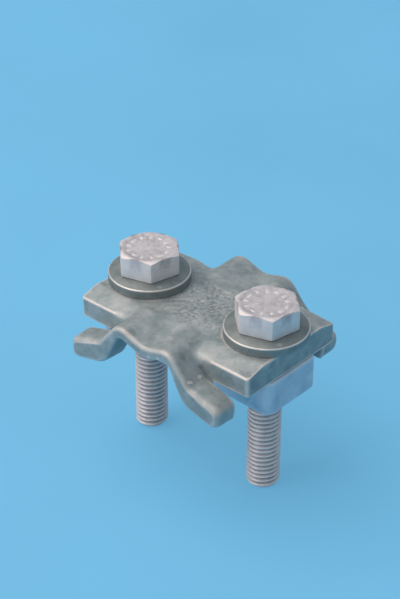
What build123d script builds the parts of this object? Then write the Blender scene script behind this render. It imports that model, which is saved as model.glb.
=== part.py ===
"""Parallel groove clamp: a forged saddle and a tapped bar drawn together by two hexagon bolts.

The clamp stands on the ends of its bolts. The origin is on the floor midway between the bolts,
+X runs along the row of bolts, +Y along the conductors and +Z up. Lengths are in millimetres.
"""

import os
from math import cos, pi, tan

from build123d import *

os.makedirs("parts", exist_ok=True)

# Bolts, M10 with hexagon heads.
bolt_diameter = 10.0
bolt_length = 55.0  # under the head, which is also the height of the head's seat
head_across_flats = 17.0
head_height = 6.8
head_chamfer_angle = 30.0
head_rim = 0.3  # how far the chamfer reaches inside the flats
bolt_tip_chamfer = 1.0
head_turns = {"left": 16.0, "right": 18.5}  # degrees from +X to a corner of the head

# Plain thick washers.
washer_diameter = 24.4
washer_thickness = 3.7
washer_chamfer = 0.9

# Saddle: a plate with a crowned top, and a wavy lip along each long side that runs out into two horns.
saddle_length = 63.4
saddle_width = 38.0
saddle_edge_thickness = 6.1
saddle_crown = 1.6  # rise of the flat middle over the long edges
crown_width = 25.0  # width of that flat middle
saddle_corner_radius = 0.8
bolt_end_distance = 9.45  # from each end to the bolt's axis
lip_reach = 7.9  # how far a lip stands out from the plate's long side
valley_thickness = 4.0
crest_thickness = 4.2
crest_distance = {"left": 10.2, "right": 9.3}  # from the middle to the corner of each crest
crest_rise = {"left": 3.7, "right": 3.1}  # that corner over the plate's long edge, before it is rounded
valley_rise = 0.3  # corner of the valley between the crests over the plate's long edge
crest_radius = 5.0
crest_inner_radius = 2.5
crest_inner_shift = 0.5  # corner under the crest, nearer the middle than its top
valley_radius = 8.0
horn_reach = {"left": 28.8, "right": 27.6}  # from the middle to each tip
horn_flank = 7.6  # how far out a horn runs while it falls steeply
horn_root_drop = 5.8  # where it levels out, under the plate's long edge
horn_droop = 3.3  # further fall to the tip
horn_thickness = 6.2
horn_heel_shift = 2.6  # corner under the root, nearer the middle than its top
horn_tip_rake = 0.8  # how far the tip's face leans in under the top
horn_root_radius = 3.0
horn_heel_radius = 5.0  # rounding under the root
horn_tip_radius = 1.5
lip_edge_radius = 1.2

# Bar with the tapped holes.
bar_overhang = 0.6  # how far each end stands out past the saddle
bar_width = 21.4
bar_thickness = 10.7
bar_corner_radius = 2.6
bar_edge_radius = 0.7

# Conductor grooves, one half in the saddle and one half in the bar.
groove_radius = 4.0
groove_spacing = 14.0

# Clearances.
thread_clearance = 0.05  # radial, bolt in the bar's tapped hole
saddle_hole_clearance = 0.5  # radial
washer_hole_clearance = 0.3  # radial

bolt_spacing = saddle_length - 2 * bolt_end_distance
bar_length = saddle_length + 2 * bar_overhang
saddle_top = bolt_length - washer_thickness
saddle_edge_top = saddle_top - saddle_crown
parting_height = saddle_edge_top - saddle_edge_thickness  # where the saddle rests on the bar
bolt_places = {"left": -bolt_spacing / 2, "right": bolt_spacing / 2}


def save(builder, name):
    builder.part.label = name
    export_step(builder.part, f"parts/{name}.step")


def along_y(x, z):
    """Returns the place of a cylinder that lies along Y through the given point."""
    return Location((x, 0, z), (90, 0, 0))


# Saddle. The section through a lip, along the row of bolts.
valley_height = saddle_edge_top + valley_rise
root_height = saddle_edge_top - horn_root_drop
tip_height = root_height - horn_droop


def lip_side(side):
    """Returns one side's corners from the top middle out to the tip and back in, each with its radius."""
    crest_x, crest_height = crest_distance[side], saddle_edge_top + crest_rise[side]
    root_x, tip_x = crest_x + horn_flank, horn_reach[side]
    corners = [
        ((crest_x, crest_height), crest_radius),
        ((root_x, root_height), horn_root_radius),
        ((tip_x, tip_height), horn_tip_radius),
        ((tip_x - horn_tip_rake, tip_height - horn_thickness), horn_tip_radius),
        ((root_x - horn_heel_shift, root_height - horn_thickness), horn_heel_radius),
        ((crest_x - crest_inner_shift, crest_height - crest_thickness), crest_inner_radius),
    ]
    sign = 1 if side == "right" else -1
    return [((sign * x, z), radius) for (x, z), radius in corners]


def lip_outline():
    """Returns the corners of the whole outline in order, each with its radius."""
    top_middle = ((0, valley_height), valley_radius)
    bottom_middle = ((0, valley_height - valley_thickness), valley_radius)
    return [top_middle] + lip_side("right") + [bottom_middle] + lip_side("left")[::-1]


with BuildPart() as saddle:
    # The plate's section across the long sides.
    with BuildSketch(Plane.YZ.offset(-saddle_length / 2)):
        with BuildLine():
            Polyline(
                (-crown_width / 2, saddle_top),
                (-saddle_width / 2, saddle_edge_top),
                (-saddle_width / 2, parting_height),
                (saddle_width / 2, parting_height),
                (saddle_width / 2, saddle_edge_top),
                (crown_width / 2, saddle_top),
                close=True,
            )
        make_face()
    extrude(amount=saddle_length)
    fillet(saddle.edges().filter_by(Axis.Z), saddle_corner_radius)

    # One lip with its horns, from the edge of the crown outwards, and its mirror image.
    lip_start = crown_width / 2
    lip_end = saddle_width / 2 + lip_reach
    with BuildSketch(Plane.XZ.offset(lip_start)):
        with BuildLine():
            corners, radii = zip(*lip_outline())
            FilletPolyline(*corners, radius=list(radii), close=True)
        make_face()
    extrude(amount=lip_end - lip_start)
    lip_faces = saddle.faces().filter_by(Axis.Y).group_by(Axis.Y)
    fillet(lip_faces[0].edges(), lip_edge_radius)
    # Nothing of the horns runs under the plate.
    with Locations((0, 0, parting_height)):
        Box(
            2 * saddle_length, saddle_width, saddle_width,
            align=(Align.CENTER, Align.CENTER, Align.MAX), mode=Mode.SUBTRACT,
        )
    mirror(about=Plane.XZ)

    for x in (-groove_spacing / 2, groove_spacing / 2):
        with Locations(along_y(x, parting_height)):
            Cylinder(groove_radius, 2 * lip_end, mode=Mode.SUBTRACT)
    with Locations(*[(x, 0, saddle_top) for x in bolt_places.values()]):
        Hole(bolt_diameter / 2 + saddle_hole_clearance)
save(saddle, "saddle_plate")

# Bar.
with BuildPart() as bar:
    with BuildSketch(Plane.XY.offset(parting_height - bar_thickness)):
        RectangleRounded(bar_length, bar_width, bar_corner_radius)
    extrude(amount=bar_thickness)
    fillet(bar.faces().filter_by(Axis.Z).edges(), bar_edge_radius)
    for x in (-groove_spacing / 2, groove_spacing / 2):
        with Locations(along_y(x, parting_height)):
            Cylinder(groove_radius, 2 * bar_width, mode=Mode.SUBTRACT)
    with Locations(*[(x, 0, parting_height) for x in bolt_places.values()]):
        Hole(bolt_diameter / 2 + thread_clearance)
save(bar, "threaded_bar")

# Washers.
for side, x in bolt_places.items():
    with BuildPart() as washer:
        with BuildSketch(Plane.XY.offset(saddle_top)):
            with Locations((x, 0)):
                Circle(washer_diameter / 2)
                Circle(bolt_diameter / 2 + washer_hole_clearance, mode=Mode.SUBTRACT)
        extrude(amount=washer_thickness)
        rim = washer.faces().sort_by(Axis.Z)[-1].outer_wire().edges()
        chamfer(rim, washer_chamfer)
    save(washer, f"washer_{side}")

# Bolts.
head_top = bolt_length + head_height
head_corner_radius = head_across_flats / 2 / cos(pi / 6)
head_chamfer_width = head_corner_radius - head_across_flats / 2 + head_rim
head_chamfer_drop = head_chamfer_width * tan(head_chamfer_angle * pi / 180)
for side, x in bolt_places.items():
    with BuildPart() as bolt:
        with BuildSketch(Plane.XY.offset(bolt_length)):
            with Locations((x, 0)):
                RegularPolygon(head_corner_radius, 6, rotation=head_turns[side])
        extrude(amount=head_height)
        # The cone that takes the corners off the top of the head.
        with BuildSketch(Plane((x, 0, 0), x_dir=(1, 0, 0), z_dir=(0, -1, 0))):
            with BuildLine():
                Polyline(
                    (0, bolt_length),
                    (head_corner_radius, bolt_length),
                    (head_corner_radius, head_top - head_chamfer_drop),
                    (head_corner_radius - head_chamfer_width, head_top),
                    (0, head_top),
                    close=True,
                )
            make_face()
        revolve(axis=Axis((x, 0, 0), (0, 0, 1)), mode=Mode.INTERSECT)
        with Locations((x, 0, 0)):
            Cylinder(bolt_diameter / 2, bolt_length, align=(Align.CENTER, Align.CENTER, Align.MIN))
        chamfer(bolt.edges().sort_by(Axis.Z)[0], bolt_tip_chamfer)
    save(bolt, f"bolt_{side}")
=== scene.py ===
from math import cos, hypot, pi, radians, sin, tan

import bmesh
import bpy
import numpy as np
from mathutils import Matrix, Vector, noise


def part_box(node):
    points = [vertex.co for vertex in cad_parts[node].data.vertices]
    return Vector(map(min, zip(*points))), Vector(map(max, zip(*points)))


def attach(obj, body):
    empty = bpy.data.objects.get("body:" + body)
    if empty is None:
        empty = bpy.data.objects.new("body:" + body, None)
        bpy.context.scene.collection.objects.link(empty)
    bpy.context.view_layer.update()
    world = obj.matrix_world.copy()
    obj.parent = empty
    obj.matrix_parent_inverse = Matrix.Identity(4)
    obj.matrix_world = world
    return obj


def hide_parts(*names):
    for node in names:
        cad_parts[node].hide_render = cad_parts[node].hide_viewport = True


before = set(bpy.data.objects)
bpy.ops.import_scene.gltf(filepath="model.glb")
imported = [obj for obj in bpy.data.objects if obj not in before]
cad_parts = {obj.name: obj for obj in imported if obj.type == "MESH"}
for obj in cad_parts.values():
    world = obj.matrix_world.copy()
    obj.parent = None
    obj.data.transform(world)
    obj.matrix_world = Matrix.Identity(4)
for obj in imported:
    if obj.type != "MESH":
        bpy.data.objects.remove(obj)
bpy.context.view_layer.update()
mm = 0.001


# colours are written as sRGB hex and turned linear here
def linear(hexColour):
    channels = [int(hexColour[i:i + 2], 16) / 255 for i in (1, 3, 5)]
    return [c / 12.92 if c <= 0.04045 else ((c + 0.055) / 1.055) ** 2.4 for c in channels] + [1.0]


# a linear colour made lighter or darker
def scaled(colour, share):
    return [min(1, c * share) for c in colour[:3]] + [1]


# adds one node with its settings and links; an input called i2 is socket number 2, and stops fill a ramp
def addNode(tree, kind, settings=None, stops=(), **inputs):
    node = tree.nodes.new(kind)
    for name, value in (settings or {}).items():
        setattr(node, name, value)
    for name, value in inputs.items():
        socket = node.inputs[int(name[1:])] if name[0] == "i" and name[1:].isdigit() else node.inputs[name]
        if isinstance(value, bpy.types.NodeSocket):
            tree.links.new(value, socket)
        else:
            socket.default_value = value
    if stops:
        ramp = node.color_ramp
        while len(ramp.elements) < len(stops):
            ramp.elements.new(0.5)
        for element, (place, colour) in zip(ramp.elements, stops):
            element.position = place
            element.color = colour
    return node


def newMaterial(name):
    material = bpy.data.materials.new(name)
    material.use_nodes = True
    tree = material.node_tree
    tree.nodes.clear()
    return material, tree


def addObject(name, data):
    obj = bpy.data.objects.new(name, data)
    bpy.context.scene.collection.objects.link(obj)
    return obj


def objectFrom(mesh, name):
    data = bpy.data.meshes.new(name)
    mesh.to_mesh(data)
    mesh.free()
    return addObject(name, data)


def shadeSmooth(obj, sharpAngle):
    for polygon in obj.data.polygons:
        polygon.use_smooth = True
    obj.data.set_sharp_from_angle(angle=radians(sharpAngle))


# fills the bands between neighbouring rings of equally many points
def joinRings(mesh, rings):
    for lower, upper in zip(rings, rings[1:]):
        for k in range(len(lower)):
            n = (k + 1) % len(lower)
            mesh.faces.new((lower[k], lower[n], upper[n], upper[k]))


def closeEnds(mesh, rings):
    mesh.faces.new(list(reversed(rings[0])))
    mesh.faces.new(rings[-1])


# Hot-dip galvanised steel: zinc that froze on the part. It is a grey, half-matt metal, clouded in patches a
# few millimetres wide, with fine grit from the pickled steel under it; its edges get a painted highlight and
# its hollows a painted shade. Its dull film scatters light, so it is set about half metallic. The grit is
# really about 0.2 mm across and is drawn coarser, so that it shows.
# the last row of each finish is its painted edge highlight: the colour, its strength and the range of
# sharpness that gets it
zincFinishes = {
    # forged in a die: dull grey-green and gritty, with a warm painted highlight on its edges
    "forgedZinc": {
        "dark": "#7A8585", "mid": "#98A09F", "bright": "#B2B4B1", "cloudMm": 7, "grainMm": 0.9,
        "roughness": (0.46, 0.66), "bumpMm": 0.10, "metallic": 0.5,
        "edge": "#EADACF", "rub": 0.70, "highlightFrom": 0.503, "highlightTo": 0.532,
    },
    # rolled bar: paler and smoother, in wide clouds
    "rolledZinc": {
        "dark": "#9DABB8", "mid": "#B3C1CD", "bright": "#C9D4DC", "cloudMm": 12, "grainMm": 0.6,
        "roughness": (0.42, 0.58), "bumpMm": 0.03, "metallic": 0.45,
        "edge": "#DDE2E4", "rub": 0.6, "highlightFrom": 0.503, "highlightTo": 0.54,
    },
    # stamped washer: even and darker
    "stampedZinc": {
        "dark": "#6E7574", "mid": "#7C8482", "bright": "#8C918E", "cloudMm": 6, "grainMm": 0.5,
        "roughness": (0.42, 0.56), "bumpMm": 0.03, "metallic": 0.55,
        "edge": "#B9B4AE", "rub": 0.4, "highlightFrom": 0.503, "highlightTo": 0.54,
    },
    # the washer's rim: a painted highlight, a thin light line along the rounded edge where it catches the
    # light
    "rimHighlightZinc": {
        "dark": "#B9B1AA", "mid": "#CBC3BC", "bright": "#D8D1CB", "cloudMm": 5, "grainMm": 0.5,
        "roughness": (0.30, 0.42), "bumpMm": 0.01, "metallic": 0.5,
        "edge": "#D8D0C8", "rub": 0.5, "highlightFrom": 0.503, "highlightTo": 0.54,
    },
    # bolt, dipped and spun: light, warm and slightly grainy
    "boltZinc": {
        "dark": "#ABA5A6", "mid": "#C4BCBC", "bright": "#DAD2D1", "cloudMm": 3, "grainMm": 0.6,
        "roughness": (0.46, 0.62), "bumpMm": 0.07, "metallic": 0.45,
        "edge": "#EFE4DE", "rub": 0.6, "highlightFrom": 0.503, "highlightTo": 0.54,
    },
}
zincPattern = {
    "crystalShare": 0.28,  # width of one zinc crystal against a cloud's
    "crystalWeight": 0.16, "grainWeight": 0.35,  # against the clouds' weight of 1
    "toneStops": (0.46, 0.72, 0.98), "glossStops": (0.3, 0.7), "bumpStrength": 0.6,
    # painted shade: hollows, found by low pointiness, are darkened towards a dimmed dark tone
    "shadeFrom": 0.47, "shadeTo": 0.497, "hollowShade": 0.55, "shadeTone": 0.5,
}


def galvanisedSteel(name):
    look, pattern = zincFinishes[name], zincPattern
    material, tree = newMaterial(name)
    place = addNode(tree, "ShaderNodeTexCoord").outputs["Object"]
    clouds = addNode(tree, "ShaderNodeTexNoise", Vector=place, Scale=1000 / look["cloudMm"], Detail=5.0,
                     Roughness=0.6).outputs["Fac"]
    grain = addNode(tree, "ShaderNodeTexNoise", Vector=place, Scale=1000 / look["grainMm"], Detail=4.0,
                    Roughness=0.65).outputs["Fac"]
    crystals = addNode(tree, "ShaderNodeTexVoronoi", Vector=place,
                       Scale=1000 / (look["cloudMm"] * pattern["crystalShare"]))
    crystalTone = addNode(tree, "ShaderNodeSeparateColor", Color=crystals.outputs["Color"]).outputs["Red"]
    withCrystals = addNode(tree, "ShaderNodeMath", {"operation": "MULTIPLY_ADD"}, i0=crystalTone,
                           i1=pattern["crystalWeight"], i2=clouds)
    withGrain = addNode(tree, "ShaderNodeMath", {"operation": "MULTIPLY_ADD"}, i0=grain,
                        i1=pattern["grainWeight"], i2=withCrystals.outputs[0])
    stops = [(at, linear(look[tone])) for at, tone in zip(pattern["toneStops"], ("dark", "mid", "bright"))]
    tone = addNode(tree, "ShaderNodeValToRGB", stops=stops, Fac=withGrain.outputs[0]).outputs["Color"]
    # painted highlight: sharp corners and edges are lightened towards the highlight colour; painted shade:
    # hollows are darkened
    bend = addNode(tree, "ShaderNodeNewGeometry").outputs["Pointiness"]
    rub = addNode(tree, "ShaderNodeMapRange", Value=bend, i1=look["highlightFrom"], i2=look["highlightTo"], i3=0.0,
                  i4=look["rub"])
    hollow = addNode(tree, "ShaderNodeMapRange", Value=bend, i1=pattern["shadeFrom"], i2=pattern["shadeTo"],
                     i3=pattern["hollowShade"], i4=0.0)
    tone = addNode(tree, "ShaderNodeMix", {"data_type": "RGBA"}, i0=hollow.outputs[0], i6=tone,
                   i7=scaled(linear(look["dark"]), pattern["shadeTone"])).outputs[2]
    colour = addNode(tree, "ShaderNodeMix", {"data_type": "RGBA"}, i0=rub.outputs[0], i6=tone,
                     i7=linear(look["edge"]))
    (fromGrain, toGrain), (low, high) = pattern["glossStops"], look["roughness"]
    gloss = addNode(tree, "ShaderNodeMapRange", Value=grain, i1=fromGrain, i2=toGrain, i3=low, i4=high)
    bump = addNode(tree, "ShaderNodeBump", Height=grain, Strength=pattern["bumpStrength"],
                   Distance=look["bumpMm"] * mm)
    shader = addNode(tree, "ShaderNodeBsdfPrincipled", **{
        "Base Color": colour.outputs[2], "Metallic": look["metallic"], "Roughness": gloss.outputs[0],
        "Normal": bump.outputs[0],
    })
    addNode(tree, "ShaderNodeOutputMaterial", Surface=shader.outputs[0])
    return material


materials = {name: galvanisedSteel(name) for name in zincFinishes}
print("materials made")


def dress(obj, material):
    obj.data.materials.clear()
    obj.data.materials.append(material)


# gives a piece its finish, hides the solid that it stands for and attaches it to the body that it moves with
def fitPiece(piece, node, finish, body):
    dress(piece, materials[finish])
    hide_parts(node)
    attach(piece, body)


# The saddle and the bar are their solids with softened edges, as the die, the rolls and the zinc leave them.
# The hump and start values are fades in millimetres: where one begins and how wide it is, rising away from
# the middle, or falling where the width is negative.
saddle = {
    "voxelMm": 0.34, "smoothRounds": 2, "relaxShare": 0.6,
    "humpRounds": 70,  # relaxing where the humps grow out of the plate
    "humpAlong": (18.5, -3), "humpInner": (8.5, 3), "humpOuter": (23.5, -6), "humpFoot": (46.5, 1.5),
    "hornRounds": 45,  # relaxing of the horns, and by a share of it of the lips between them
    "lipStart": (19.2, 1.5), "hornStart": (15, 5), "lipShare": 0.12,
    "hornSwellMm": 0.45, "swellStart": (14, 5), "swellSideMm": 19.5,  # makes up for what relaxing takes off
    "waveMm": 0.25, "waveLengthMm": 9, "waveMiddle": 0.35,  # slow unevenness of the forging
    "pitMm": 0.12, "pitLengthMm": 1.5,  # rough field between the bolts
    "pitRoughness": (0.6, 2.1, 3),  # falloff, step in size and layers of the noise
    "pitCap": 0.25, "pitMiddle": 0.1,  # highest point of that noise, and the level taken as even
    "fieldHalfMm": (13.0, 12.0),  # half the field's length and width
    "fieldPower": 4, "fieldFacing": 0.6,  # how sharply it ends, and how far upwards its surface looks
    "plateHalfMm": 19, "seatGuardMm": 0.6, "seatMarginMm": 0.5,  # where the seats are left flat
}


def softened(name, node, look):
    obj = addObject(name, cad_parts[node].data.copy())
    mesh = bmesh.new()
    mesh.from_mesh(obj.data)
    bmesh.ops.remove_doubles(mesh, verts=mesh.verts, dist=1e-6)
    mesh.to_mesh(obj.data)
    mesh.free()
    remesh = obj.modifiers.new("remesh", "REMESH")
    remesh.mode, remesh.voxel_size, remesh.adaptivity = "VOXEL", look["voxelMm"] * mm, 0.0
    smooth = obj.modifiers.new("smooth", "SMOOTH")
    smooth.factor, smooth.iterations = 0.5, look["smoothRounds"]
    bpy.context.view_layer.update()
    shaped = bpy.data.meshes.new_from_object(obj.evaluated_get(bpy.context.evaluated_depsgraph_get()))
    obj.modifiers.clear()
    obj.data = shaped
    return obj


# relaxes a part of the mesh, point by point towards the middle of its neighbours
def relax(obj, weightOf, rounds):
    mesh = obj.data
    count = len(mesh.vertices)
    places = np.empty(count * 3)
    mesh.vertices.foreach_get("co", places)
    places = places.reshape(-1, 3)
    ends = np.empty(len(mesh.edges) * 2, dtype=np.int64)
    mesh.edges.foreach_get("vertices", ends)
    a, b = ends[0::2], ends[1::2]
    neighbours = np.bincount(a, minlength=count) + np.bincount(b, minlength=count)
    weights = weightOf(places)[:, None] * saddle["relaxShare"]
    for _ in range(rounds):
        sums = [np.bincount(a, places[b, axis], count) + np.bincount(b, places[a, axis], count)
                for axis in range(3)]
        middle = np.stack(sums, axis=1) / neighbours[:, None]
        places += (middle - places) * weights
    mesh.vertices.foreach_set("co", places.ravel())
    mesh.update()


def fade(values, span):
    start, width = span
    return np.clip((values - start * mm) / (width * mm), 0, 1)


# 1 on the stretch where a hump grows out of the plate, falling to 0 around it
def humpBlend(places):
    x, y, z = np.abs(places[:, 0]), np.abs(places[:, 1]), places[:, 2]
    across = fade(y, saddle["humpInner"]) * fade(y, saddle["humpOuter"])
    return fade(x, saddle["humpAlong"]) * across * fade(z, saddle["humpFoot"])


# 1 on the horns and less on the lips between them, where the forging is rounded off
def hornBlend(places):
    x, y = np.abs(places[:, 0]), np.abs(places[:, 1])
    share = saddle["lipShare"]
    return fade(y, saddle["lipStart"]) * (share + (1 - share) * fade(x, saddle["hornStart"]))


# moves each point along its normal by so many millimetres, and never out of the solid's box
def shiftSurface(obj, node, shiftOf):
    low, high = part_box(node)
    vertices = obj.data.vertices
    normals = [vertex.normal.copy() for vertex in vertices]
    for vertex, normal in zip(vertices, normals):
        vertex.co = vertex.co + normal * shiftOf(vertex.co.copy(), normal) * mm
        for axis in range(3):
            vertex.co[axis] = min(max(vertex.co[axis], low[axis]), high[axis])
    shadeSmooth(obj, 60)


def wave(place, look):
    return (noise.noise(place / (look["waveLengthMm"] * mm)) - look["waveMiddle"]) * look["waveMm"]


washerLow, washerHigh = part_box("washer_right")
boltX = (washerLow.x + washerHigh.x) / 2
washerRadius = (washerHigh.x - washerLow.x) / 2
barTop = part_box("threaded_bar")[1].z


def saddleShift(place, normal):
    look = saddle
    x, y, guard = abs(place.x), abs(place.y), look["seatGuardMm"] * mm
    # flat seats under the washers and on the bar stay flat
    underWasher = hypot(x - boltX, place.y) < washerRadius + look["seatMarginMm"] * mm
    if place.z > washerLow.z - guard and underWasher:
        return 0
    if place.z < barTop + guard and y < look["plateHalfMm"] * mm:
        return 0
    shift = wave(place, look)
    swellStart, swellWidth = look["swellStart"]
    if y > look["swellSideMm"] * mm and x > swellStart * mm:
        shift += look["hornSwellMm"] * min(1, (x - swellStart * mm) / (swellWidth * mm))
    inField = 1
    for along, half in zip(place, look["fieldHalfMm"]):
        inField *= max(0, 1 - (along / (half * mm)) ** look["fieldPower"])
    if normal.z > look["fieldFacing"] and inField > 0:
        rough = noise.fractal(place / (look["pitLengthMm"] * mm), *look["pitRoughness"])
        shift += inField * (min(rough, look["pitCap"]) - look["pitMiddle"]) * 2 * look["pitMm"]
    return shift


bar = {
    "voxelMm": 0.36, "smoothRounds": 2,
    "waveMm": 0.06, "waveLengthMm": 14, "waveMiddle": 0.5,  # rolled, so almost even
    "seatGuardMm": 0.6,
}


def barShift(place, normal):
    if place.z > barTop - bar["seatGuardMm"] * mm:
        return 0
    return wave(place, bar)


forgedSaddle = softened("forgedSaddle", "saddle_plate", saddle)
relax(forgedSaddle, humpBlend, saddle["humpRounds"])
relax(forgedSaddle, hornBlend, saddle["hornRounds"])
shiftSurface(forgedSaddle, "saddle_plate", saddleShift)
fitPiece(forgedSaddle, "saddle_plate", "forgedZinc", "saddle")
print("saddle made")

tappedBar = softened("tappedBar", "threaded_bar", bar)
shiftSurface(tappedBar, "threaded_bar", barShift)
fitPiece(tappedBar, "threaded_bar", "rolledZinc", "bar")
print("bar made")

washer = {
    "holeMm": 10.6, "flatMm": 8.9,  # bore's diameter, and the reach of the flat under the head
    "fallMm": 0.85, "fallCurve": 1.3,  # how far the coned top drops to the rim, and how it bends
    "rimRoundMm": 0.36, "footRoundMm": 0.3,
    "segments": 160, "faceRings": 10, "rimRings": 4, "sideRings": 4, "footRings": 3,
}


# turned outline from the hole's foot up, out under the head, down the coned top and the rim
def washerOutline(radius, low, high):
    look = washer
    hole, flat, fall = look["holeMm"] / 2 * mm, look["flatMm"] * mm, look["fallMm"] * mm
    rim, foot = look["rimRoundMm"] * mm, look["footRoundMm"] * mm
    outer, shoulder = radius - rim, high - fall
    outline = [(hole, low), (hole, high - foot), (hole + foot, high), (flat, high)]
    for k in range(1, look["faceRings"] + 1):
        share = k / look["faceRings"]
        outline.append((flat + (outer - flat) * share, high - fall * share ** look["fallCurve"]))
    for k in range(1, look["rimRings"] + 1):
        turn = pi / 2 / look["rimRings"] * k
        outline.append((outer + rim * sin(turn), shoulder - rim + rim * cos(turn)))
    for k in range(1, look["sideRings"] + 1):
        outline.append((radius, shoulder - rim - (shoulder - low - rim - foot) * k / look["sideRings"]))
    for k in range(1, look["footRings"] + 1):
        turn = pi / 2 / look["footRings"] * k
        outline.append((radius - foot + foot * cos(turn), low + foot - foot * sin(turn)))
    return outline


def turned(name, x, outline):
    count = washer["segments"]
    mesh = bmesh.new()
    rings = [[mesh.verts.new((x + r * cos(2 * pi * k / count), r * sin(2 * pi * k / count), z))
              for k in range(count)] for r, z in outline]
    joinRings(mesh, rings + rings[:1])
    bmesh.ops.recalc_face_normals(mesh, faces=mesh.faces)
    obj = objectFrom(mesh, name)
    shadeSmooth(obj, 50)
    return obj


def makeWasher(side):
    low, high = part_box(f"washer_{side}")
    x, radius = (low.x + high.x) / 2, (high.x - low.x) / 2
    piece = turned(f"thickWasher_{side}", x, washerOutline(radius, low.z, high.z))
    dress(piece, materials["stampedZinc"])
    piece.data.materials.append(materials["rimHighlightZinc"])
    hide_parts(f"washer_{side}")
    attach(piece, "saddle")
    # the polygons of the rounded rim take the second material, the painted rim highlight
    rimRound = washer["rimRoundMm"] * mm
    rimFoot = high.z - (washer["fallMm"] + washer["rimRoundMm"]) * mm
    for polygon in piece.data.polygons:
        reach = hypot(polygon.center.x - x, polygon.center.y)
        if reach > radius - rimRound and polygon.center.z > rimFoot:
            polygon.material_index = 1


for side in ("left", "right"):
    makeWasher(side)
print("washers made")

bolt = {
    "shankMm": 9.86, "pitchMm": 1.5, "threadDepthMm": 0.86, "tipChamferMm": 1.0, "intoHeadMm": 0.5,
    "rootShare": 0.14, "flankShare": 0.66,  # of half a pitch: the flat root, and the flank up to the crest
    "roundSegments": 72, "threadSteps": 9,
    "headAcrossMm": 16.9, "headMm": 6.8, "rimMm": 0.1, "chamferAngle": 26,
    "headTurn": {"left": 16.0, "right": 18.5},  # degrees, as the two were left after tightening
    "softMm": 0.22,  # rounding left by the zinc on every corner
    "cornerCut": 0.6, "shoulderIn": 0.35, "shoulderUp": 0.05,  # shares of that rounding
    "pointsPerSide": 12, "faceRings": 22,
    "dishMm": 0.22, "dishRadiusMm": 7.6, "dishPower": 12,
    "marks": 13, "markRingMm": 5.9, "markMm": (0.55, 1.5), "shortMark": 0.75,
    "markFoot": (0.05, 2.2), "markTop": (0.08, 0.9),  # depth in mm under the dish or the rim, and spread
}


# height of the thread's flank at a share of one pitch, 1 on the crest and 0 in the root
def threadProfile(share):
    return min(1, max(0, (abs(2 * share - 1) - bolt["rootShare"]) / bolt["flankShare"]))


def makeShank(name, x, top):
    look = bolt
    pitch, depth = look["pitchMm"] * mm, look["threadDepthMm"] * mm
    radius, tip = look["shankMm"] / 2 * mm, look["tipChamferMm"] * mm
    count = look["roundSegments"]
    rows = int(top / pitch * look["threadSteps"])
    mesh = bmesh.new()
    rings = []
    for row in range(rows + 1):
        z = top * row / rows
        ring = []
        for k in range(count):
            turn = 2 * pi * k / count
            share = (z / pitch - k / count) % 1
            r = radius - depth * (1 - threadProfile(share))
            r = min(r, radius - max(0, tip - z))
            ring.append(mesh.verts.new((x + r * cos(turn), r * sin(turn), z)))
        rings.append(ring)
    joinRings(mesh, rings)
    closeEnds(mesh, rings)
    obj = objectFrom(mesh, name)
    shadeSmooth(obj, 60)
    return obj


# the hexagon's reach from the bolt's axis in the direction of an angle
def hexReach(angle, across):
    sector = (angle + pi / 6) % (pi / 3) - pi / 6
    return across / 2 / cos(pi / 6 - abs(sector))


# the upset head is very slightly dished
def headRelief(reach):
    share = min(1, reach / (bolt["dishRadiusMm"] * mm))
    return bolt["dishMm"] * mm * (1 - share ** bolt["dishPower"])


def makeHead(name, x, seat, turn):
    look = bolt
    across, top, soft = look["headAcrossMm"] * mm, seat + look["headMm"] * mm, look["softMm"] * mm
    slope = tan(radians(look["chamferAngle"]))
    inner = across / 2 - look["rimMm"] * mm
    corner = across / 2 / cos(pi / 6)

    def side(angle):
        return min(hexReach(angle, across), corner - soft * look["cornerCut"])

    def shoulder(angle):
        return top - (side(angle) - inner) * slope

    # reach and height at an angle, from the shank out under the head, up its side and over the chamfer
    outline = [
        lambda a: (look["shankMm"] / 2 * mm, seat),
        lambda a: (side(a) - soft, seat),
        lambda a: (side(a), seat + soft),
        lambda a: (side(a), shoulder(a) - soft),
        lambda a: (side(a) - soft * look["shoulderIn"], shoulder(a) + soft * look["shoulderUp"]),
        lambda a: (inner + soft, top - soft * slope),
        lambda a: (inner - soft, top),
    ]
    for k in range(1, look["faceRings"]):
        reach = (inner - soft) * (1 - k / look["faceRings"])
        outline.append(lambda a, reach=reach: (reach, top - headRelief(reach)))
    mesh = bmesh.new()
    rings = []
    for placeOf in outline:
        ring = []
        for k in range(6 * look["pointsPerSide"]):
            angle = k * pi / 3 / look["pointsPerSide"]
            facing = angle + radians(turn)
            reach, z = placeOf(angle)
            ring.append(mesh.verts.new((x + reach * cos(facing), reach * sin(facing), z)))
        rings.append(ring)
    joinRings(mesh, rings)
    closeEnds(mesh, rings)
    addMarks(mesh, x, top, turn)
    obj = objectFrom(mesh, name)
    shadeSmooth(obj, 35)
    return obj


# plain raised strokes in a ring, each a small block that narrows upwards
def addMarks(mesh, x, top, turn):
    look = bolt
    wide, long = (size * mm for size in look["markMm"])
    (footDepth, footSpread), (topDepth, topSpread) = look["markFoot"], look["markTop"]
    dish, ringRadius = look["dishMm"] * mm, look["markRingMm"] * mm
    levels = ((top - dish - footDepth * mm, footSpread), (top - topDepth * mm, topSpread))
    for k in range(look["marks"]):
        angle = radians(turn) + 2 * pi * k / look["marks"]
        across = (k * 5) % 3 == 0  # every few strokes lie across the others
        spin = Matrix.Rotation(angle + (pi / 2 if across else 0), 3, "Z")
        centre = Vector((x + ringRadius * cos(angle), ringRadius * sin(angle), 0))
        length = long * (look["shortMark"] if k % 2 else 1)
        rings = []
        for z, spread in levels:
            halfX, halfY = length / 2 * (spread + 1) / 2, wide / 2 * spread
            corners = [Vector((halfX * sx, halfY * sy, 0)) for sx, sy in ((-1, -1), (1, -1), (1, 1), (-1, 1))]
            rings.append([mesh.verts.new(centre + spin @ point + Vector((0, 0, z))) for point in corners])
        closeEnds(mesh, rings)
        joinRings(mesh, rings)


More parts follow.
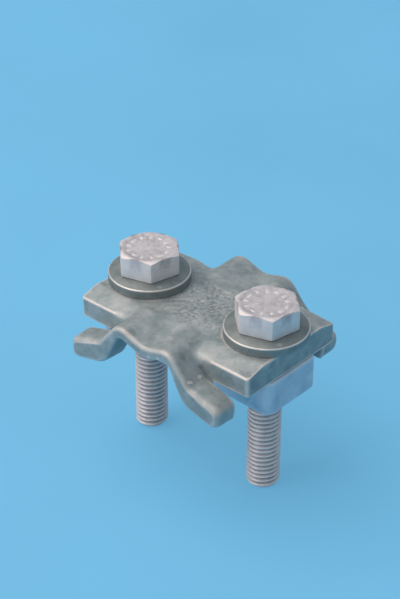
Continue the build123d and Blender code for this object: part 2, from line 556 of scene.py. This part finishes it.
def makeBolt(side):
    node = f"bolt_{side}"
    low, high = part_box(f"washer_{side}")
    x, seat = (low.x + high.x) / 2, high.z
    shank = makeShank(f"threadedShank_{side}", x, seat + bolt["intoHeadMm"] * mm)
    head = makeHead(f"hexHead_{side}", x, seat, bolt["headTurn"][side])
    for piece in (shank, head):
        dress(piece, materials["boltZinc"])
        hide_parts(node)
        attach(piece, node)


for side in ("left", "right"):
    makeBolt(side)
print("bolts made")

stage = {
    "floor": "#77BEE4", "ownColour": 0.55, "reach": 2.0,
    "mottlePerMetre": 9.0, "mottleStops": (0.3, 0.7), "mottleTones": (0.97, 1.03),
    "roughness": 0.85, "specular": 0.1,
    "key": {"place": (-0.42, -0.22, 1.0), "size": 1.1, "watts": 7.6, "colour": "#FFF0E6"},
    "fill": {"place": (-0.35, -0.75, 0.35), "size": 0.60, "watts": 2.3, "colour": "#FFF2EA"},
    "lampAim": (0, 0, 0.04),
    "world": 0.60, "worldColour": "#CFE3F4",
}


# matt painted board, almost even, with a faint cloudiness
def paintedBoard():
    material, tree = newMaterial("paintedBoard")
    place = addNode(tree, "ShaderNodeTexCoord").outputs["Object"]
    mottle = addNode(tree, "ShaderNodeTexNoise", Vector=place, Scale=stage["mottlePerMetre"],
                     Detail=3.0).outputs["Fac"]
    base = linear(stage["floor"])
    stops = [(at, scaled(base, share)) for at, share in zip(stage["mottleStops"], stage["mottleTones"])]
    tone = addNode(tree, "ShaderNodeValToRGB", stops=stops, Fac=mottle).outputs["Color"]
    shader = addNode(tree, "ShaderNodeBsdfPrincipled", **{
        "Base Color": tone, "Roughness": stage["roughness"], "Specular IOR Level": stage["specular"],
    })
    # part of what the eye, metal and glass see of the floor is its own colour, so its shadow stays faint
    path = addNode(tree, "ShaderNodeLightPath").outputs
    seen = addNode(tree, "ShaderNodeMath", i0=path["Is Camera Ray"], i1=path["Is Glossy Ray"])
    seen = addNode(tree, "ShaderNodeMath", {"use_clamp": True}, i0=seen.outputs[0],
                   i1=path["Is Transmission Ray"])
    share = addNode(tree, "ShaderNodeMath", {"operation": "MULTIPLY"}, i0=seen.outputs[0],
                    i1=stage["ownColour"])
    glow = addNode(tree, "ShaderNodeEmission", Color=tone, Strength=1.0)
    mixed = addNode(tree, "ShaderNodeMixShader", i0=share.outputs[0], i1=shader.outputs[0],
                    i2=glow.outputs[0])
    addNode(tree, "ShaderNodeOutputMaterial", Surface=mixed.outputs[0])
    return material


def makeFloor():
    reach = stage["reach"]
    corners = ((-reach, -reach, 0), (reach, -reach, 0), (reach, reach, 0), (-reach, reach, 0))
    mesh = bmesh.new()
    mesh.faces.new([mesh.verts.new(corner) for corner in corners])
    floorObj = objectFrom(mesh, "floor")
    dress(floorObj, paintedBoard())


def addLamp(name, look):
    lamp = bpy.data.lights.new(name, "AREA")
    lamp.shape, lamp.size, lamp.energy = "DISK", look["size"], look["watts"]
    lamp.color = linear(look["colour"])[:3]
    obj = addObject(name, lamp)
    obj.location = look["place"]
    beam = Vector(stage["lampAim"]) - Vector(look["place"])
    obj.rotation_euler = beam.to_track_quat("-Z", "Y").to_euler()


def makeWorld():
    world = bpy.data.worlds.new("softRoom")
    bpy.context.scene.world = world
    world.use_nodes = True
    background = world.node_tree.nodes["Background"].inputs
    background["Color"].default_value = linear(stage["worldColour"])
    background["Strength"].default_value = stage["world"]


makeFloor()
addLamp("keyLamp", stage["key"])
addLamp("fillLamp", stage["fill"])
makeWorld()
print("stage made")

# angles in degrees, lens in millimetres, distance and aim in metres
camera = {
    "azimuth": 41.75, "elevation": 32.39, "distance": 0.4794, "lens": 148.6, "sensor": 36.0,
    "clipStart": 0.01, "aim": (-0.00657, 0.00452, 0.04821),
}


def makeCamera():
    data = bpy.data.cameras.new("camera")
    data.sensor_fit, data.sensor_width, data.lens = "HORIZONTAL", camera["sensor"], camera["lens"]
    data.clip_start = camera["clipStart"]
    azimuth, elevation = radians(camera["azimuth"]), radians(camera["elevation"])
    look = Vector((-sin(azimuth) * cos(elevation), cos(azimuth) * cos(elevation), -sin(elevation)))
    obj = addObject("camera", data)
    obj.location = Vector(camera["aim"]) - look * camera["distance"]
    obj.rotation_euler = look.to_track_quat("-Z", "Y").to_euler()
    bpy.context.scene.camera = obj


makeCamera()
bpy.context.scene.view_settings.view_transform = "Standard"
